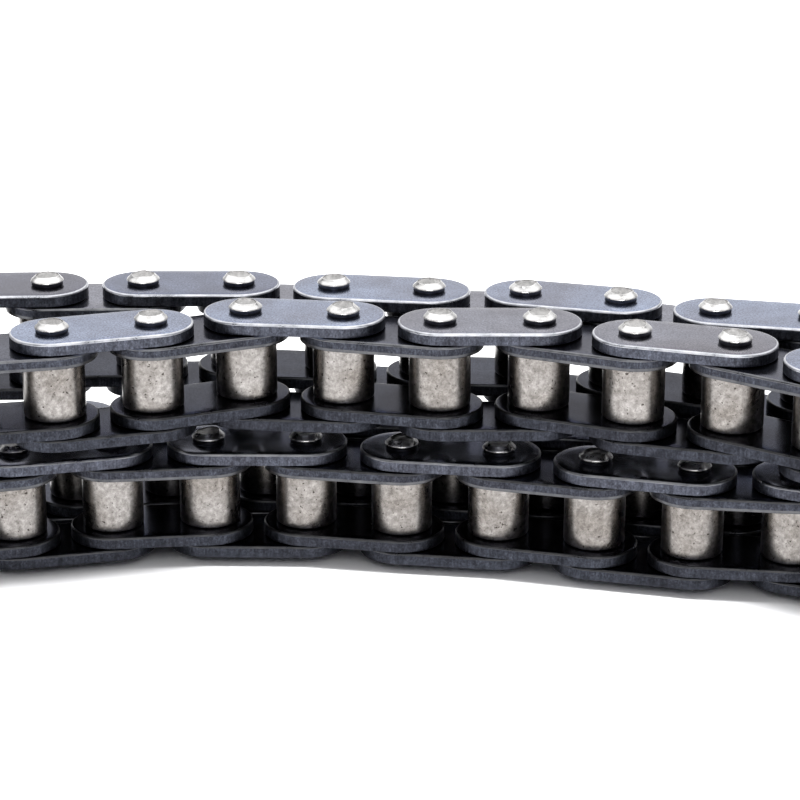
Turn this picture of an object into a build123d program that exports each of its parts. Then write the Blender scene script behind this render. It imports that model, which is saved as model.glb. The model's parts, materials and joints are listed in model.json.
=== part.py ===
from build123d import *
import math
import os

os.makedirs("parts", exist_ok=True)

# Single-strand roller chain of half-inch pitch, lying on its side with every pin upright.
# Two lengths of 23 links are stacked. Each is folded back on itself, so four rows lie together.
# Millimetres, +Z up, +X along the rows, +Y from the front rows towards the rear rows.

# --- Chain section ---
pitch = 12.70                 # pin centre to pin centre
inner_width = 7.75            # clear width between the two inner plates
plate_thickness = 1.60
inner_plate_height = 11.30    # straight-sided plates with full round ends
outer_plate_height = 10.90
plate_edge = 0.20             # small break on the edges of every plate

pin_diameter = 3.98
pin_head_diameter = 4.36      # ends swollen by riveting
pin_protrusion = 1.30         # length standing out of each outer plate
pin_head_land = 0.60          # full-diameter part of a riveted end
pin_head_round = 0.25

bush_diameter = 5.60
bush_stand_out = 0.10         # bush end beyond the inner plate's outer face
pin_clearance = 0.04          # radial running clearance, pin in bush
roller_diameter = 7.92
roller_clearance = 0.06       # radial running clearance, roller on bush
roller_side_gap = 0.075       # between a roller's end and the inner plate
roller_edge = 0.30
press_allowance = 0.01        # radial gap that keeps pressed-in pieces separate solids
link_side_gap = 0.05          # between a bush end and the outer plate
layer_gap = 0.25              # between the pin ends of the two stacked lengths

bush_length = inner_width + 2 * plate_thickness + 2 * bush_stand_out
outer_gap = bush_length + 2 * link_side_gap
pin_length = outer_gap + 2 * plate_thickness + 2 * pin_protrusion
roller_length = inner_width - 2 * roller_side_gap
bush_bore_radius = pin_diameter / 2 + pin_clearance
roller_bore_radius = bush_diameter / 2 + roller_clearance

# --- How the two lengths lie ---
# Headings are degrees from +X, link by link. A length starts at the free end of its front row,
# runs to the right, turns back through two links and returns along its rear row.
upper_start = (-56.3, -5.4)
upper_front_row = [12, 16, 22, -6, -13, 0, -22, -16, -34, -30]
upper_turn = [45, 124]
upper_rear_row = [163, 168, 159, 165, 176, 172, 174, 180, 182, 182, 182]

lower_start = (-62.3, -3.0)
lower_front_row = [14, 13, 6, -1, -10, -8, -15, -14, -7, -23]
lower_turn = [27, 107]
lower_rear_row = [193, 168, 167, 167, 170, 170, 176, 183, 186, 187, 187]

lower_mid_height = pin_length / 2
upper_mid_height = lower_mid_height + pin_length + layer_gap

# Pins whose rollers are pieces of their own, free to spin. Pin 0 is the front row's free end.
upper_free_rollers = [1, 2, 3, 4, 5, 6, 7, 8]
lower_free_rollers = [2, 3, 4, 5, 6, 7]


def pin_centres(start, headings):
    """Plan positions of all pins of one length, one more than it has links."""
    centres = [start]
    for heading in headings:
        x, y = centres[-1]
        step_x = pitch * math.cos(math.radians(heading))
        step_y = pitch * math.sin(math.radians(heading))
        centres.append((x + step_x, y + step_y))
    return centres


def plate_reach(index):
    """Radius of the round plate ends of a link. Even links are inner links."""
    if index % 2 == 0:
        return inner_plate_height / 2
    return outer_plate_height / 2


def plan_middle(lengths, axis):
    """Middle of the whole chain's extent along X (axis 0) or Y (axis 1)."""
    low = []
    high = []
    for centres in lengths:
        for index in range(len(centres) - 1):
            for end in (centres[index], centres[index + 1]):
                low.append(end[axis] - plate_reach(index))
                high.append(end[axis] + plate_reach(index))
    return (min(low) + max(high)) / 2


upper_headings = upper_front_row + upper_turn + upper_rear_row
lower_headings = lower_front_row + lower_turn + lower_rear_row
raw_upper = pin_centres(upper_start, upper_headings)
raw_lower = pin_centres(lower_start, lower_headings)
middle_x = plan_middle([raw_upper, raw_lower], 0)
middle_y = plan_middle([raw_upper, raw_lower], 1)
upper_pins = [(x - middle_x, y - middle_y) for x, y in raw_upper]
lower_pins = [(x - middle_x, y - middle_y) for x, y in raw_lower]


def link_plane(centre, heading, mid_height):
    """Plane at a link's first pin, half way up the chain, with X along the link."""
    along = (math.cos(math.radians(heading)), math.sin(math.radians(heading)), 0)
    return Plane(origin=(centre[0], centre[1], mid_height), x_dir=along, z_dir=(0, 0, 1))


def inner_link(label, centre, heading, mid_height, fixed_roller_stations):
    """Two inner plates pressed on two bushes, with the rollers that are not pieces of their own."""
    base = link_plane(centre, heading, mid_height)
    with BuildPart() as link:
        for plate_bottom in (-inner_width / 2 - plate_thickness, inner_width / 2):
            with BuildSketch(base.offset(plate_bottom)):
                with Locations((pitch / 2, 0)):
                    SlotCenterToCenter(pitch, inner_plate_height)
            extrude(amount=plate_thickness)
        chamfer(link.edges().filter_by(Plane.XY), plate_edge)
        with BuildSketch(base.offset(-bush_length / 2)):
            with Locations((0, 0), (pitch, 0)):
                Circle(bush_diameter / 2 + press_allowance)
        extrude(amount=bush_length, mode=Mode.SUBTRACT)
        with BuildSketch(base.offset(-bush_length / 2)):
            with Locations((0, 0), (pitch, 0)):
                Circle(bush_diameter / 2)
                Circle(bush_bore_radius, mode=Mode.SUBTRACT)
        extrude(amount=bush_length)
        for station in fixed_roller_stations:
            with BuildSketch(base.offset(-roller_length / 2)):
                with Locations((station, 0)):
                    Circle(roller_diameter / 2)
                    Circle(roller_bore_radius, mode=Mode.SUBTRACT)
            extrude(amount=roller_length)
            rims = link.edges(Select.LAST).filter_by(GeomType.CIRCLE)
            rims = rims.filter_by(lambda edge: edge.radius > roller_diameter / 2 - 0.01)
            fillet(rims, roller_edge)
    link.part.label = label
    export_step(link.part, "parts/" + label + ".step")


def outer_link(label, centre, heading, mid_height):
    """Two outer plates riveted on two pins whose swollen ends stand out of the plates."""
    base = link_plane(centre, heading, mid_height)
    head_taper = pin_protrusion - pin_head_land
    with BuildPart() as link:
        for plate_bottom in (-outer_gap / 2 - plate_thickness, outer_gap / 2):
            with BuildSketch(base.offset(plate_bottom)):
                with Locations((pitch / 2, 0)):
                    SlotCenterToCenter(pitch, outer_plate_height)
            extrude(amount=plate_thickness)
        chamfer(link.edges().filter_by(Plane.XY), plate_edge)
        with BuildSketch(base.offset(-pin_length / 2)):
            with Locations((0, 0), (pitch, 0)):
                Circle(pin_diameter / 2 + press_allowance)
        extrude(amount=pin_length, mode=Mode.SUBTRACT)
        for station in (0, pitch):
            shank = pin_diameter / 2
            head = pin_head_diameter / 2
            half = pin_length / 2
            foot = base.from_local_coords((station, 0, 0))
            across = base.y_dir * -1
            with BuildSketch(Plane(origin=foot, x_dir=base.x_dir, z_dir=across)):
                with BuildLine():
                    Polyline(
                        (0, -half),
                        (head - pin_head_round, -half),
                        (head, -half + pin_head_round),
                        (head, -half + pin_head_land),
                        (shank, -half + pin_head_land + head_taper),
                        (shank, half - pin_head_land - head_taper),
                        (head, half - pin_head_land),
                        (head, half - pin_head_round),
                        (head - pin_head_round, half),
                        (0, half),
                        close=True,
                    )
                make_face()
            revolve(axis=Axis(foot, (0, 0, 1)))
    link.part.label = label
    export_step(link.part, "parts/" + label + ".step")


def free_roller(label, centre, mid_height):
    """A roller that turns on its bush, with rounded ends."""
    with BuildPart() as roller:
        with BuildSketch(link_plane(centre, 0, mid_height - roller_length / 2)):
            Circle(roller_diameter / 2)
            Circle(roller_bore_radius, mode=Mode.SUBTRACT)
        extrude(amount=roller_length)
        rims = roller.edges().filter_by(GeomType.CIRCLE)
        rims = rims.filter_by(lambda edge: edge.radius > roller_diameter / 2 - 0.01)
        fillet(rims, roller_edge)
    roller.part.label = label
    export_step(roller.part, "parts/" + label + ".step")


def chain_length(prefix, pins, headings, mid_height, free_pins):
    """All pieces of one length: inner and outer links in turn, then its free rollers."""
    for index, heading in enumerate(headings):
        number = str(index).zfill(2)
        if index % 2 == 0:
            stations = []
            for step in (0, 1):
                if index + step not in free_pins:
                    stations.append(step * pitch)
            inner_link(prefix + "_inner_link_" + number, pins[index], heading, mid_height, stations)
        else:
            outer_link(prefix + "_outer_link_" + number, pins[index], heading, mid_height)
    for pin in free_pins:
        free_roller(prefix + "_roller_" + str(pin).zfill(2), pins[pin], mid_height)


chain_length("upper", upper_pins, upper_headings, upper_mid_height, upper_free_rollers)
chain_length("lower", lower_pins, lower_headings, lower_mid_height, lower_free_rollers)
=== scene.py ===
import bmesh
import bpy
import json
import math
import random
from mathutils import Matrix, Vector

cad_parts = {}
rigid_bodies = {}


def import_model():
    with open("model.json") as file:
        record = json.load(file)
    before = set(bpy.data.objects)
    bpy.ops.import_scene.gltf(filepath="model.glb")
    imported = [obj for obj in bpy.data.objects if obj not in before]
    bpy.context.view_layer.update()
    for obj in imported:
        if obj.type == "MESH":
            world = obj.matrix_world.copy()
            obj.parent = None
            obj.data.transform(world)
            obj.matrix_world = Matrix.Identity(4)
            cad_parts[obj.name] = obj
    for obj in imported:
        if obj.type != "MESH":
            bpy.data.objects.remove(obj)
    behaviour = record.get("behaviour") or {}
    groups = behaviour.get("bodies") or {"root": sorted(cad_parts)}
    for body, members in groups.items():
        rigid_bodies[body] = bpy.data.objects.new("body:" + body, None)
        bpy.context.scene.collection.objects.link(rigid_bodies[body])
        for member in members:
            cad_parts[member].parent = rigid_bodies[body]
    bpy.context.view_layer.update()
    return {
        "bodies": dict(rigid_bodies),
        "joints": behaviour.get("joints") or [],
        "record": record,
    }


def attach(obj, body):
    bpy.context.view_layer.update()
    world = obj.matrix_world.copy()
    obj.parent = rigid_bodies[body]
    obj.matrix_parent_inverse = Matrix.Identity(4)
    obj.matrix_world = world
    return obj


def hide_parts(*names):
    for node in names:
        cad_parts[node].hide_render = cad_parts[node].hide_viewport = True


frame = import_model()

# ---------------------------------------------------------------- sizes, millimetres
PITCH = 12.70
LINKS = 23                                   # in each of the two lengths
FRONT_LINKS = 11                             # links 0 to 10 of a length lie in its front row
INNER_WIDTH = 7.75                           # between the inner plates
THICK = 1.60                                 # of every plate
INNER_R = 11.30 / 2                          # round ends of the inner plates
OUTER_R = 10.90 / 2
PIN_R = 3.98 / 2
PIN_HOLE_R = PIN_R + 0.01
HEAD_R = 4.36 / 2                            # a pin's swollen end
PROTRUSION = 1.30                            # of a pin above its plate
BUSH_R = 5.60 / 2
BUSH_BORE = PIN_R + 0.04
BUSH_LENGTH = INNER_WIDTH + 2 * THICK + 0.20
OUTER_GAP = BUSH_LENGTH + 0.10               # between the outer plates
PIN_LENGTH = OUTER_GAP + 2 * THICK + 2 * PROTRUSION
ROLLER_R = 7.92 / 2
ROLLER_BORE = BUSH_R + 0.06
ROLLER_LENGTH = INNER_WIDTH - 0.15

TOP_ROUND, LOW_ROUND = 0.30, 0.13            # a plate's corners, rounder on its upper side
HOLE_BREAK = 0.08                            # rims of a plate's holes
BORE_BREAK = 0.12                            # rims of a bush's or roller's bore
BUSH_ROUND, ROLLER_ROUND = 0.15, 0.32        # their outer rims
SIDE_DISH = 0.03                             # how hollow a plate's side is
SIDE_INSET = 0.02                            # keeps a plate's wavy side inside its outline
ARC_STEPS, STRAIGHT_STEPS, ACROSS_STEPS = 26, 5, 8
BUSH_SEGMENTS, ROLLER_SEGMENTS, PIN_SEGMENTS = 48, 64, 56
ANY_PHASE = (0, 6.28)                        # radians

# ---------------------------------------------------------------- materials


def new_material(name):
    mat = bpy.data.materials.new(name)
    mat.use_nodes = True
    tree = mat.node_tree
    coord = tree.nodes.new("ShaderNodeTexCoord")
    return mat, tree, coord.outputs["Object"]


def noise(tree, coord, per_metre, detail=4.0, rough=0.55, stretch=(1, 1, 1), distortion=0.0):
    """Noise whose features are about 1/per_metre across."""
    mapping = tree.nodes.new("ShaderNodeMapping")
    mapping.inputs["Scale"].default_value = stretch
    tree.links.new(coord, mapping.inputs["Vector"])
    node = tree.nodes.new("ShaderNodeTexNoise")
    node.inputs["Scale"].default_value = per_metre
    node.inputs["Detail"].default_value = detail
    node.inputs["Roughness"].default_value = rough
    node.inputs["Distortion"].default_value = distortion
    tree.links.new(mapping.outputs["Vector"], node.inputs["Vector"])
    return node.outputs["Fac"]


def grey(value):
    return (value, value, value)


def toned(tone, *shades):
    return [tuple(tone * part for part in shade) for shade in shades]


def ramp(tree, fac, stops):
    """stops: (place, colour), at least two of them."""
    node = tree.nodes.new("ShaderNodeValToRGB")
    elements = node.color_ramp.elements
    while len(elements) < len(stops):
        elements.new(0.5)
    for element, (place, colour) in zip(elements, stops):
        element.position = place
        element.color = (*colour, 1)
    tree.links.new(fac, node.inputs["Fac"])
    return node.outputs["Color"]


def mix(tree, fac, a, b, blend):
    node = tree.nodes.new("ShaderNodeMix")
    node.data_type = "RGBA"
    node.blend_type = blend
    if isinstance(fac, float):
        node.inputs["Factor"].default_value = fac
    else:
        tree.links.new(fac, node.inputs["Factor"])
    # a Mix node's colour sockets: inputs 6 and 7, output 2
    tree.links.new(a, node.inputs[6])
    tree.links.new(b, node.inputs[7])
    return node.outputs[2]


def times(tree, a, b):
    return mix(tree, 1.0, a, b, "MULTIPLY")


def spread(tree, fac, low, high, from_low=0.3, from_high=0.7):
    node = tree.nodes.new("ShaderNodeMapRange")
    node.inputs["From Min"].default_value = from_low
    node.inputs["From Max"].default_value = from_high
    node.inputs["To Min"].default_value = low
    node.inputs["To Max"].default_value = high
    tree.links.new(fac, node.inputs["Value"])
    return node.outputs["Result"]


def finish_metal(tree, colour, roughness, bumps):
    """bumps: (height output, depth in metres), laid one on another."""
    shader = tree.nodes["Principled BSDF"]
    tree.links.new(colour, shader.inputs["Base Color"])
    shader.inputs["Metallic"].default_value = 1.0
    tree.links.new(roughness, shader.inputs["Roughness"])
    normal = None
    for height, depth in bumps:
        node = tree.nodes.new("ShaderNodeBump")
        node.inputs["Strength"].default_value = 1.0
        node.inputs["Distance"].default_value = depth
        tree.links.new(height, node.inputs["Height"])
        if normal is not None:
            tree.links.new(normal, node.inputs["Normal"])
        normal = node.outputs["Normal"]
    tree.links.new(normal, shader.inputs["Normal"])
    return shader


def plate_face_material(name, low, high, wear=1.0, tint=1.0):
    """Blued steel: broad temper colours, clouds, fine grain, and pale scuffs where it is worn."""
    mat, tree, coord = new_material(name)
    broad = noise(tree, coord, 70, 2.0)
    cloud = noise(tree, coord, 300, 5.0, 0.6)
    grain = noise(tree, coord, 4200, 2.0, 0.6)
    scuff = noise(tree, coord, 900, 6.0, 0.7, (1, 4, 1), 0.6)
    temper = ramp(tree, broad, [(0.32, low), (0.66, high)])
    clouds = ramp(tree, cloud, [(0.25, (0.74, 0.74, 0.76)), (0.75, grey(1.04))])
    grains = ramp(tree, grain, [(0.30, (0.62, 0.62, 0.63)), (0.70, grey(1.22))])
    scuffs = ramp(tree, scuff, [(0.66, grey(0)), (0.76, (0.12, 0.12, 0.13))])
    colour = times(tree, times(tree, temper, clouds), grains)
    colour = mix(tree, wear, colour, scuffs, "ADD")
    roughness = spread(tree, cloud, 0.15, 0.24)
    shader = finish_metal(tree, colour, roughness, [(cloud, 4e-6), (grain, 5e-6)])
    shader.inputs["Specular Tint"].default_value = (*grey(tint), 1)
    return mat


def plate_edge_material(name, tone):
    """A plate's sheared side: speckle, patches and short upright tear marks."""
    mat, tree, coord = new_material(name)
    broad = noise(tree, coord, 110, 2.0)
    speckle = noise(tree, coord, 4300, 4.0, 0.6, (1, 1, 0.8))
    patch = noise(tree, coord, 900, 3.0, 0.6)
    tear = noise(tree, coord, 2600, 4.0, 0.6, (1, 1, 0.16))
    dark, middle, light = toned(
        tone, (0.024, 0.024, 0.028), (0.036, 0.038, 0.045), (0.058, 0.062, 0.072))
    speckles = ramp(tree, speckle, [(0.34, dark), (0.52, middle), (0.70, light)])
    bluing = ramp(tree, broad, [(0.3, (0.70, 0.69, 0.72)), (0.7, (1.05, 1.08, 1.14))])
    tears = ramp(tree, tear, [(0.32, grey(0.62)), (0.68, grey(1.42))])
    patches = ramp(tree, patch, [(0.34, (0.72, 0.72, 0.73)), (0.66, (1.24, 1.24, 1.26))])
    colour = times(tree, times(tree, times(tree, speckles, bluing), tears), patches)
    roughness = spread(tree, tear, 0.36, 0.55)
    finish_metal(tree, colour, roughness, [(tear, 5e-5), (speckle, 1.5e-5)])
    return mat


def worn_edge_material(name, tone):
    """A plate's rounded corner, rubbed bright in patches."""
    mat, tree, coord = new_material(name)
    patch = noise(tree, coord, 400, 5.0, 0.7)
    grain = noise(tree, coord, 2600, 3.0, 0.6)
    dark, middle, light = toned(tone, (0.28, 0.29, 0.32), (0.56, 0.57, 0.61), (0.80, 0.80, 0.82))
    colour = ramp(tree, patch, [(0.30, dark), (0.52, middle), (0.75, light)])
    finish_metal(tree, colour, spread(tree, patch, 0.24, 0.40), [(grain, 2e-5)])
    return mat


def roller_material(name, tone):
    """Bare satin steel: brownish stains, mottle, specks and a few dark pits."""
    mat, tree, coord = new_material(name)
    broad = noise(tree, coord, 150, 3.0)
    mottle = noise(tree, coord, 1500, 5.0, 0.7)
    speck = noise(tree, coord, 4200, 3.0, 0.6)
    pit = noise(tree, coord, 2000, 2.0, 0.5)
    dark, middle, light = toned(tone, (0.130, 0.120, 0.112), (0.222, 0.209, 0.198), (0.35, 0.335, 0.32))
    mottles = ramp(tree, mottle, [(0.30, dark), (0.50, middle), (0.72, light)])
    stains = ramp(tree, broad, [(0.34, (0.74, 0.715, 0.69)), (0.62, grey(1.08))])
    specks = ramp(tree, speck, [(0.26, (0.55, 0.54, 0.53)), (0.40, grey(0.95)), (0.70, grey(1.12))])
    pits = ramp(tree, pit, [(0.28, (0.22, 0.20, 0.19)), (0.35, grey(1.0))])
    colour = times(tree, times(tree, times(tree, mottles, stains), specks), pits)
    roughness = spread(tree, broad, 0.25, 0.33)
    finish_metal(tree, colour, roughness, [(mottle, 1e-6), (speck, 6e-7)])
    return mat


def pin_head_material(name, tone):
    """A pin's swollen lip, bright from peening."""
    mat, tree, coord = new_material(name)
    patch = noise(tree, coord, 900, 5.0, 0.7)
    hammer = noise(tree, coord, 1500, 3.0, 0.5)
    dark, middle, light = toned(tone, (0.50, 0.495, 0.49), (0.80, 0.79, 0.78), (0.92, 0.915, 0.91))
    colour = ramp(tree, patch, [(0.26, dark), (0.46, middle), (0.75, light)])
    finish_metal(tree, colour, spread(tree, patch, 0.22, 0.36), [(hammer, 3e-5)])
    return mat


def pin_flat_material(name, tone):
    """A pin's cropped end face: streaked and pitted."""
    mat, tree, coord = new_material(name)
    streak = noise(tree, coord, 1300, 5.0, 0.7, (1, 0.35, 1), 0.4)
    pit = noise(tree, coord, 3800, 3.0, 0.6)
    dark, middle, light = toned(tone, (0.24, 0.235, 0.23), (0.46, 0.45, 0.445), (0.66, 0.65, 0.645))
    streaks = ramp(tree, streak, [(0.30, dark), (0.50, middle), (0.72, light)])
    pits = ramp(tree, pit, [(0.28, (0.45, 0.44, 0.43)), (0.45, grey(1))])
    colour = times(tree, streaks, pits)
    roughness = spread(tree, streak, 0.26, 0.42)
    finish_metal(tree, colour, roughness, [(streak, 1.5e-5), (pit, 1e-5)])
    return mat


def dark_steel_material(name, per_metre, dark, light, smooth, rough, depth):
    """Patchy dark steel, for the bushes and the sides of the pins."""
    mat, tree, coord = new_material(name)
    patch = noise(tree, coord, per_metre, 5.0, 0.7)
    colour = ramp(tree, patch, [(0.3, dark), (0.7, light)])
    finish_metal(tree, colour, spread(tree, patch, smooth, rough), [(patch, depth)])
    return mat


FACE = plate_face_material("blued_plate_face", (0.27, 0.285, 0.37), (0.375, 0.435, 0.59))
DULL_FACE = plate_face_material("dull_plate_face", (0.215, 0.205, 0.24), (0.31, 0.315, 0.375), 0.8)
DEEP_FACE = plate_face_material("deep_blue_plate_face", (0.17, 0.18, 0.25), (0.25, 0.285, 0.41), 0.8)
DARK_FACE = plate_face_material("dark_plate_face", (0.125, 0.12, 0.15), (0.185, 0.185, 0.24), 0.7)
# the lower length's top plate faces, painted darker: painted shade, as the upper length lies over them
SHADED_LOWER_FACE = plate_face_material("painted_shade_lower_plate_face", (0.12, 0.12, 0.15), (0.17, 0.185, 0.24), 0.45)
# every bottom plate's faces, painted darkest: painted shade under the top plates
SHADED_BOTTOM_FACE = plate_face_material("painted_shade_bottom_plate_face", (0.075, 0.075, 0.09), (0.125, 0.132, 0.165), 0.35, 0.6)
INNER_FACE = plate_face_material("inner_plate_face", (0.095, 0.094, 0.118), (0.185, 0.192, 0.24), 0.5, 0.8)
EDGE = plate_edge_material("sheared_plate_edge", 1.85)
MID_EDGE = plate_edge_material("dull_plate_edge", 1.3)
# the bottom plates' sides and low corners, painted darker: painted shade
SHADED_BOTTOM_EDGE = plate_edge_material("painted_shade_bottom_plate_edge", 0.95)
WORN = worn_edge_material("worn_plate_corner", 1.1)
DULL_WORN = worn_edge_material("dull_plate_corner", 0.32)
# corners of the bottom plates and of the lower length's inner plates, painted darker: painted shade
SHADED_CORNER = worn_edge_material("painted_shade_plate_corner", 0.10)
LOW_WORN = worn_edge_material("low_plate_corner", 0.15)
ROLLER = roller_material("satin_roller_steel", 1.0)
# the rear row's rollers, painted darker: painted shade behind the front row
SHADED_REAR_ROLLER = roller_material("oiled_roller_steel", 0.52)
ROLLER_RIM = roller_material("worn_roller_rim", 1.30)
# the rear rollers' rims, painted darker: painted shade behind the front row
SHADED_REAR_ROLLER_RIM = roller_material("oiled_roller_rim", 0.72)
BUSH_RIM = roller_material("worn_bush_rim", 0.95)
HEAD = pin_head_material("peened_pin_end", 1.0)
FLAT = pin_flat_material("cropped_pin_face", 1.0)
# the lower length's pin ends, painted darker: painted shade under the upper length
SHADED_HEAD = pin_head_material("oiled_pin_end", 0.6)
SHADED_FLAT = pin_flat_material("oiled_pin_face", 0.5)
SIDE = dark_steel_material(
    "dark_pin_side", 800, (0.04, 0.04, 0.046), (0.11, 0.11, 0.125), 0.30, 0.46, 3e-5)
BUSH = dark_steel_material(
    "dark_bush_steel", 700, (0.08, 0.08, 0.085), (0.18, 0.175, 0.175), 0.28, 0.42, 2e-5)

FLAT_FINISHES = [FACE, DULL_FACE, DEEP_FACE, DARK_FACE, SHADED_LOWER_FACE, SHADED_BOTTOM_FACE, INNER_FACE]
SIDE_FINISHES = [EDGE, MID_EDGE, SHADED_BOTTOM_EDGE, WORN, DULL_WORN, SHADED_CORNER, LOW_WORN]
PLATE_FINISHES = FLAT_FINISHES + SIDE_FINISHES
# the upper length's outer links whose top plate is duller than the others
DULLER = {5: DULL_FACE, 7: DULL_FACE, 19: DEEP_FACE, 21: DARK_FACE}


def plate_finishes(length, k, top):
    """Face, side, top corner and low corner of a plate. The upper length's top plates are the brightest;
    the bottom plates' and the lower length's darker finishes are painted shade.
    """
    outer = k % 2 == 1
    # every bottom plate is painted darker all over, face, side and corners: painted shade, as it lies
    # under its top plate
    if not top:
        return SHADED_BOTTOM_FACE, SHADED_BOTTOM_EDGE, SHADED_CORNER, SHADED_BOTTOM_EDGE
    # the lower length lies under the upper one, so its top plates get a darker face: painted shade
    if length == "lower" and outer:
        return SHADED_LOWER_FACE, EDGE, DULL_WORN, EDGE
    if length == "lower":
        return SHADED_LOWER_FACE, MID_EDGE, SHADED_CORNER, LOW_WORN
    if outer:
        return DULLER.get(k, FACE), EDGE, WORN, EDGE
    return INNER_FACE if k < FRONT_LINKS else DULL_FACE, MID_EDGE, DULL_WORN, LOW_WORN


# ---------------------------------------------------------------- mesh building, millimetres


class Shape:
    """Vertices, faces and a material index for each face, gathered for one object."""

    def __init__(self):
        self.points = []
        self.faces = []
        self.slots = []

    def add(self, points, faces, slots):
        start = len(self.points)
        self.points += points
        self.faces += [tuple(i + start for i in face) for face in faces]
        self.slots += slots


def lathe(profile, closed, slots, segments, wobble=None):
    """Turns a profile of (radius, height). closed joins its ends; else its ends lie on the axis.

    slots: the finish of each band. wobble(n, angle, radius, height) moves a point of ring n.
    """
    points, faces, marks = [], [], []
    rings = []
    for n, (radius, height) in enumerate(profile):
        if radius < 1e-6:
            rings.append([len(points)])
            points.append((0.0, 0.0, height))
            continue
        ring = []
        for s in range(segments):
            a = 2 * math.pi * s / segments
            r, h = wobble(n, a, radius, height) if wobble else (radius, height)
            ring.append(len(points))
            points.append((r * math.cos(a), r * math.sin(a), h))
        rings.append(ring)
    pairs = len(profile) if closed else len(profile) - 1
    for n in range(pairs):
        low, high = rings[n], rings[(n + 1) % len(rings)]
        for s in range(segments):
            t = (s + 1) % segments
            if len(low) == 1:
                faces.append((low[0], high[t], high[s]))
            elif len(high) == 1:
                faces.append((low[s], low[t], high[0]))
            else:
                faces.append((low[s], low[t], high[t], high[s]))
            marks.append(slots[n])
    return points, faces, marks


def round_corner(cx, cz, radius, start, end, steps):
    out = []
    for i in range(steps + 1):
        a = math.radians(start + (end - start) * i / steps)
        out.append((cx + radius * math.cos(a), cz + radius * math.sin(a)))
    return out


def tube(outer, bore, half, rounding, segments):
    """A ring with rounded outer rims and broken bore rims. Finish 1 is its worn rims, 0 the rest."""
    steps = 5
    profile = [(bore, -half + BORE_BREAK), (bore, half - BORE_BREAK), (bore + BORE_BREAK, half)]
    profile += round_corner(outer - rounding, half - rounding, rounding, 90, 0, steps)
    profile += [(outer, quarters * (half - rounding) / 4) for quarters in (2, 0, -2)]
    profile += round_corner(outer - rounding, -half + rounding, rounding, 0, -90, steps)
    profile += [(bore + BORE_BREAK, -half)]
    slots = [0, 1, 0] + [1] * steps + [0] * 4 + [1] * steps + [0, 1]
    return lathe(profile, True, slots, segments)


def half_border(r):
    """The plate's left half as a closed loop: round end, -y edge, middle, +y edge."""
    mid = PITCH / 2
    loop = []
    for i in range(ARC_STEPS + 1):
        a = math.pi / 2 + math.pi * i / ARC_STEPS
        loop.append((r * math.cos(a), r * math.sin(a)))
    for i in range(1, STRAIGHT_STEPS + 1):
        loop.append((mid * i / STRAIGHT_STEPS, -r))
    for i in range(1, ACROSS_STEPS):
        loop.append((mid, -r + 2 * r * i / ACROSS_STEPS))
    for i in range(STRAIGHT_STEPS, 0, -1):
        loop.append((mid * i / STRAIGHT_STEPS, r))
    return loop


def outline(r):
    """The whole plate's edge: the two halves without what lies across the middle."""
    half = half_border(r)
    left = half[: ARC_STEPS + 1 + STRAIGHT_STEPS]
    left_top = half[ARC_STEPS + STRAIGHT_STEPS + ACROSS_STEPS:]
    right = [(PITCH - x, y) for x, y in reversed(left[:-1])]
    right_top = [(PITCH - x, y) for x, y in reversed(left_top[1:])]
    return left + right + right_top + left_top


def bands(count, rings, flip):
    """Quads between neighbouring rings of count points each."""
    faces = []
    for n in range(rings - 1):
        for i in range(count):
            j = (i + 1) % count
            quad = (n * count + i, n * count + j, (n + 1) * count + j, (n + 1) * count + i)
            faces.append(quad[::-1] if flip else quad)
    return faces


def add_flat(shape, radius, hole, z, up, rounding, slot):
    """A plate's top or bottom, its points spread from each hole's rim out to the border."""
    steps = 3
    rim = hole + HOLE_BREAK
    border = half_border(radius - rounding)
    for mirror in (False, True):
        points = []
        for step in range(steps + 1):
            for x, y in border:
                a = math.atan2(y, x)
                rim_x, rim_y = rim * math.cos(a), rim * math.sin(a)
                px = rim_x + (x - rim_x) * step / steps
                py = rim_y + (y - rim_y) * step / steps
                points.append((PITCH - px if mirror else px, py, z))
        faces = bands(len(border), steps + 1, up != mirror)
        shape.add(points, faces, [slot] * len(faces))


def add_side(shape, radius, bottom, rng, side, corner, low_corner):
    """A plate's hollow, slightly wavy side wall with its rounded corners."""
    wall_top = bottom + THICK - TOP_ROUND
    wall_height = THICK - TOP_ROUND - LOW_ROUND
    rings = []                               # reach, height, finish of the band above the ring
    for r, z in round_corner(radius - TOP_ROUND, wall_top, TOP_ROUND, 90, 0, 4):
        rings.append((r, z, corner))
    for i in range(1, 4):
        t = i / 4
        rings.append((radius - SIDE_DISH * math.sin(math.pi * t), wall_top - wall_height * t, side))
    for r, z in round_corner(radius - LOW_ROUND, bottom + LOW_ROUND, LOW_ROUND, 0, -90, 3):
        rings.append((r, z, low_corner))
    waves = [
        (rng.uniform(*ANY_PHASE), rng.choice((5, 7, 9, 13, 17)), rng.uniform(0.006, 0.014))
        for _ in range(3)
    ]
    points, faces, marks = [], [], []
    count = len(outline(radius))
    for n, (r, z, _) in enumerate(rings):
        for i, (x, y) in enumerate(outline(r)):
            lift = 0.0
            if 2 < n < len(rings) - 1:       # the rings next to the flats stay straight
                lift = sum(
                    depth * math.sin(cycles * 2 * math.pi * i / count + phase)
                    for phase, cycles, depth in waves
                ) - SIDE_INSET
            centre_x = min(max(x, 0.0), PITCH)
            reach = math.hypot(x - centre_x, y)
            points.append((x + (x - centre_x) / reach * lift, y + y / reach * lift, z))
    for n in range(len(rings) - 1):
        for i in range(count):
            j = (i + 1) % count
            faces.append((n * count + i, (n + 1) * count + i, (n + 1) * count + j, n * count + j))
            marks.append(rings[n + 1][2])
    shape.add(points, faces, marks)


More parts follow.
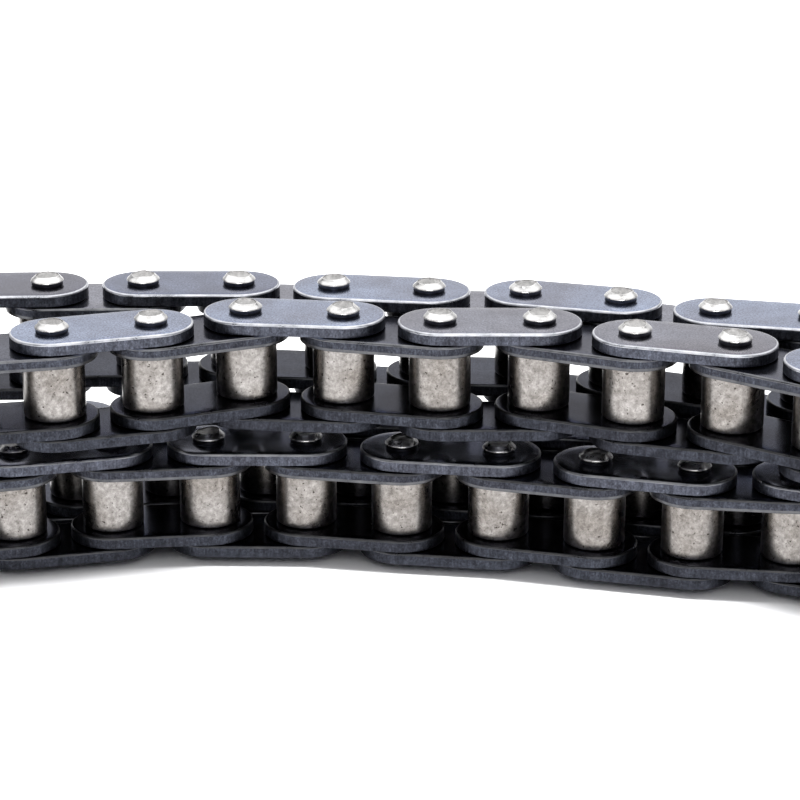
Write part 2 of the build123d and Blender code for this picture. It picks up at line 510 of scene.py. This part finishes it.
def add_hole_walls(shape, radius, hole, bottom, slot):
    """The walls of a plate's holes, meeting both flats point by point."""
    top = bottom + THICK
    rim = hole + HOLE_BREAK
    high = [math.atan2(y, x) for x, y in half_border(radius - TOP_ROUND)]
    low = [math.atan2(y, x) for x, y in half_border(radius - LOW_ROUND)]
    levels = [
        (rim, top, high), (hole, top - HOLE_BREAK, high),
        (hole, bottom + HOLE_BREAK, low), (rim, bottom, low),
    ]
    for mirror in (False, True):
        points = []
        for r, z, angles in levels:
            for a in angles:
                x = r * math.cos(a)
                points.append((PITCH - x if mirror else x, r * math.sin(a), z))
        faces = bands(len(high), len(levels), mirror)
        shape.add(points, faces, [slot] * len(faces))


def plate(radius, hole, bottom, rng, finishes):
    """A straight-sided plate from z = bottom up, with two holes, rounded corners and sheared sides."""
    face, side, corner, low_corner = [PLATE_FINISHES.index(finish) for finish in finishes]
    shape = Shape()
    add_flat(shape, radius, hole, bottom + THICK, True, TOP_ROUND, face)
    add_flat(shape, radius, hole, bottom, False, LOW_ROUND, face)
    add_side(shape, radius, bottom, rng, side, corner, low_corner)
    add_hole_walls(shape, radius, hole, bottom, side)
    return shape


def pin(rng):
    """A pin with both ends swollen and peened over, a little different every time."""
    half = PIN_LENGTH / 2
    # (radius, height) upward from the plate: neck, swell, lip, then the sunk cropped face
    top = [
        (PIN_R, half - PROTRUSION - 0.05), (PIN_R + 0.02, half - 1.05),
        (HEAD_R - 0.05, half - 0.90), (HEAD_R, half - 0.78), (HEAD_R - 0.03, half - 0.68),
        (HEAD_R - 0.12, half - 0.58), (HEAD_R - 0.24, half - 0.47), (HEAD_R - 0.38, half - 0.34),
        (HEAD_R - 0.52, half - 0.20), (HEAD_R - 0.62, half - 0.08), (HEAD_R - 0.68, half - 0.03),
        (HEAD_R - 0.73, half - 0.03), (HEAD_R - 0.80, half - 0.13), (HEAD_R - 0.95, half - 0.16),
        (0.60, half - 0.15), (0.0, half - 0.14),
    ]
    profile = [(r, -z) for r, z in reversed(top)] + [(PIN_R, 0.0)] + top
    last = len(profile) - 1
    head, side, flat = 0, 1, 2
    face_bands, neck_bands = 4, 4
    slots = []
    for n in range(last):
        from_end = min(n, last - 1 - n)
        beyond_neck = from_end < len(top) - neck_bands
        slots.append(flat if from_end < face_bands else head if beyond_neck else side)
    ends = []
    for _ in range(2):
        phases = [rng.uniform(*ANY_PHASE) for _ in range(6)]
        ends.append(phases + [rng.uniform(0.05, 0.16), rng.uniform(0.04, 0.10), rng.uniform(0.02, 0.04)])
    # how much of the flat's ragged outline each ring takes, by its number from the end's middle
    ragged = {1: 0.4, 2: 0.9, 3: 1.0, 4: 1.0, 5: 1.0, 6: 0.9, 7: 0.6, 8: 0.3, 9: 0.12}

    def shape_end(n, a, radius, height):
        from_end = min(n, last - n)
        upper = n > last / 2
        p0, p1, p2, p3, p4, p5, wide, mid, fine = ends[0 if upper else 1]
        pull = wide * math.sin(2 * a + p0) + mid * math.sin(3 * a + p1)
        pull += mid * 0.6 * math.sin(5 * a + p2)
        pull += fine * math.sin(11 * a + p3)
        radius += 0.9 * pull * ragged.get(from_end, 0.0)
        if from_end < 12:                    # the end leans and sinks unevenly, the neck doesn't
            drop = 0.03 * (1 + math.sin(a + p4)) + 0.02 * (1 + math.sin(4 * a + p5))
            height -= (1 if upper else -1) * drop * (1.0 if from_end < 8 else 0.4)
        return min(radius, HEAD_R), height

    return lathe(profile, False, slots, PIN_SEGMENTS, shape_end)


def place(points, start, along):
    """Link coordinates in millimetres to the shared frame in metres. along: cosine and sine."""
    c, s = along
    return [
        (start.x + (x * c - y * s) / 1000, start.y + (x * s + y * c) / 1000, start.z + z / 1000)
        for x, y, z in points
    ]


def make_piece(name, shape, materials, body, nodes, flat=()):
    """An object of the shape that rides on body. flat: the finishes that are not smooth shaded."""
    mesh = bpy.data.meshes.new(name)
    mesh.from_pydata(shape.points, [], shape.faces)
    mesh.update()
    for material in materials:
        mesh.materials.append(material)
    for polygon, mark in zip(mesh.polygons, shape.slots):
        polygon.material_index = mark
        polygon.use_smooth = mark not in flat
    obj = bpy.data.objects.new(name, mesh)
    bpy.context.scene.collection.objects.link(obj)
    bm = bmesh.new()
    bm.from_mesh(mesh)
    bmesh.ops.remove_doubles(bm, verts=bm.verts, dist=5e-7)
    bmesh.ops.recalc_face_normals(bm, faces=bm.faces)
    bm.to_mesh(mesh)
    bm.free()
    mesh.set_sharp_from_angle(angle=math.radians(40))
    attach(obj, body)
    if nodes:
        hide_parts(*nodes)


# ---------------------------------------------------------------- the two lengths of chain
joints = {j["name"]: j for j in frame["joints"]}
mounts = {m["name"]: m for m in frame["record"]["mounts"]}


def pin_places(length):
    """The middle of every pin and end bush of a length, from its front end to its rear end."""
    places = [Vector(mounts[length + "_front_end_bush"]["pos_m"])]
    for number in range(1, LINKS):
        places.append(Vector(joints["%s_pin_%02d" % (length, number)]["pos_m"]))
    places.append(Vector(mounts[length + "_rear_end_bush"]["pos_m"]))
    return places


def plate_pair(length, k, start, along, rng):
    outer = k % 2 == 1
    gap = OUTER_GAP if outer else INNER_WIDTH
    radius, hole = (OUTER_R, PIN_HOLE_R) if outer else (INNER_R, BUSH_R)
    pair = Shape()
    for bottom in (-gap / 2 - THICK, gap / 2):
        one = plate(radius, hole, bottom, rng, plate_finishes(length, k, bottom > 0))
        pair.add(place(one.points, start, along), one.faces, one.slots)
    return pair


def add_placed(shape, turned, centre, along):
    points, faces, marks = turned
    shape.add(place(points, centre, along), faces, marks)


def roller():
    return tube(ROLLER_R, ROLLER_BORE, ROLLER_LENGTH / 2, ROLLER_ROUND, ROLLER_SEGMENTS)


def build_length(length, seed):
    places = pin_places(length)
    free = [n for n in range(LINKS + 1) if "%s_roller_%02d" % (length, n) in frame["bodies"]]
    for k in range(LINKS):
        rng = random.Random(seed * 100 + k)
        start, end = places[k], places[k + 1]
        heading = (end - start).normalized()
        along = (heading.x, heading.y)
        kind = "inner" if k % 2 == 0 else "outer"
        body = "%s_%s_link_%02d" % (length, kind, k)
        plates = plate_pair(length, k, start, along, rng)
        flat = range(len(FLAT_FINISHES))
        make_piece(body + "_plates", plates, PLATE_FINISHES, body, [body], flat)
        if kind == "outer":
            pins = Shape()
            for centre in (start, end):
                add_placed(pins, pin(rng), centre, along)
            # the lower length's pin ends are painted darker: painted shade under the upper length
            ends = [HEAD, SIDE, FLAT] if length == "upper" else [SHADED_HEAD, SIDE, SHADED_FLAT]
            make_piece(body + "_pins", pins, ends, body, [])
            continue
        bushes = Shape()
        rollers = Shape()
        for n, centre in ((k, start), (k + 1, end)):
            bush = tube(BUSH_R, BUSH_BORE, BUSH_LENGTH / 2, BUSH_ROUND, BUSH_SEGMENTS)
            add_placed(bushes, bush, centre, along)
            if n not in free:
                add_placed(rollers, roller(), centre, along)
        make_piece(body + "_bushes", bushes, [BUSH, BUSH_RIM], body, [])
        if rollers.points:
            # rollers in the rear row are painted darker: painted shade behind the front row
            finish = [ROLLER, ROLLER_RIM] if k < FRONT_LINKS else [SHADED_REAR_ROLLER, SHADED_REAR_ROLLER_RIM]
            make_piece(body + "_rollers", rollers, finish, body, [])
    for n in free:
        body = "%s_roller_%02d" % (length, n)
        one = Shape()
        add_placed(one, roller(), places[n], (1.0, 0.0))
        make_piece(body + "_ring", one, [ROLLER, ROLLER_RIM], body, [body])


build_length("lower", 1)
build_length("upper", 2)

# ---------------------------------------------------------------- floor, light and camera, metres
FLOOR_HALF = 3
floor_mesh = bpy.data.meshes.new("floor")
floor_signs = [(-1, -1), (1, -1), (1, 1), (-1, 1)]
floor_corners = [(sx * FLOOR_HALF, sy * FLOOR_HALF, 0) for sx, sy in floor_signs]
floor_mesh.from_pydata(floor_corners, [], [(0, 1, 2, 3)])
floor = bpy.data.objects.new("floor", floor_mesh)
bpy.context.scene.collection.objects.link(floor)
floor_mat = bpy.data.materials.new("floor_white")
floor_mat.use_nodes = True
floor_shader = floor_mat.node_tree.nodes["Principled BSDF"]
floor_shader.inputs["Base Color"].default_value = (0.92, 0.92, 0.93, 1)
floor_shader.inputs["Roughness"].default_value = 0.8
floor_mesh.materials.append(floor_mat)

# the studio round the chain: low down, bright behind and dark at the sides; bright high up
world = bpy.data.worlds.new("studio")
bpy.context.scene.world = world
world.use_nodes = True
sky = world.node_tree
background = sky.nodes["Background"]
toward = sky.nodes.new("ShaderNodeTexCoord").outputs["Generated"]
split = sky.nodes.new("ShaderNodeSeparateXYZ")
sky.links.new(toward, split.inputs["Vector"])
aside = sky.nodes.new("ShaderNodeMath")
aside.operation = "ABSOLUTE"
sky.links.new(split.outputs["X"], aside.inputs[0])
side_fall = ramp(sky, aside.outputs["Value"], [(0.30, grey(1)), (0.75, (0.24, 0.24, 0.255))])
front_back = spread(sky, split.outputs["Y"], 0.0, 1.0, -1.0, 1.0)
depth_fall = ramp(sky, front_back, [(0.0, (0.18, 0.18, 0.185)), (0.45, grey(0.6)), (0.9, grey(1.0))])
low_sky = times(sky, side_fall, depth_fall)
high_sky = ramp(sky, front_back, [(0.10, grey(0.3)), (0.40, grey(1.1)), (0.60, grey(1.45))])
height = spread(sky, split.outputs["Z"], 0.0, 1.0, 0.38, 0.60)
sky.links.new(mix(sky, height, low_sky, high_sky, "MIX"), background.inputs["Color"])
background.inputs["Strength"].default_value = 1.0


def area_light(name, position, target, width, depth, watts):
    data = bpy.data.lights.new(name, "AREA")
    data.shape = "RECTANGLE"
    data.size, data.size_y = width, depth
    data.energy = watts
    obj = bpy.data.objects.new(name, data)
    bpy.context.scene.collection.objects.link(obj)
    obj.location = position
    obj.rotation_euler = (Vector(target) - Vector(position)).to_track_quat("-Z", "Y").to_euler()
    return obj


# whitens the floor, and is left out of the metal's reflections
floor_light = area_light("floor_light", (0.0, -0.04, 0.88), (0, 0, 0), 0.26, 0.26, 14.0)
floor_light.visible_glossy = False
area_light("top_softbox", (0.0, 0.04, 0.60), (0, 0, 0), 0.55, 0.50, 0.5)
area_light("front_softbox", (0.0, -0.75, 0.55), (0, 0, 0.02), 0.6, 0.30, 2.0)

ELEVATION = math.radians(20.0)
DISTANCE_MM = 360.0
SENSOR_MM = 36.0
FRAME_PIXELS = 800.0
PIXELS_PER_MM = 7.8                          # at the target
target = Vector((-0.00043, 0.00155, 0.02275))
camera_data = bpy.data.cameras.new("camera")
camera_data.sensor_width = SENSOR_MM
camera_data.lens = SENSOR_MM * PIXELS_PER_MM * DISTANCE_MM / FRAME_PIXELS
camera = bpy.data.objects.new("camera", camera_data)
bpy.context.scene.collection.objects.link(camera)
back = Vector((0, -math.cos(ELEVATION), math.sin(ELEVATION)))
camera.location = target + back * (DISTANCE_MM / 1000)
camera.rotation_euler = (-back).to_track_quat("-Z", "Y").to_euler()
camera_data.clip_start, camera_data.clip_end = 0.01, 20.0
bpy.context.scene.camera = camera
bpy.context.scene.view_settings.view_transform = "Standard"
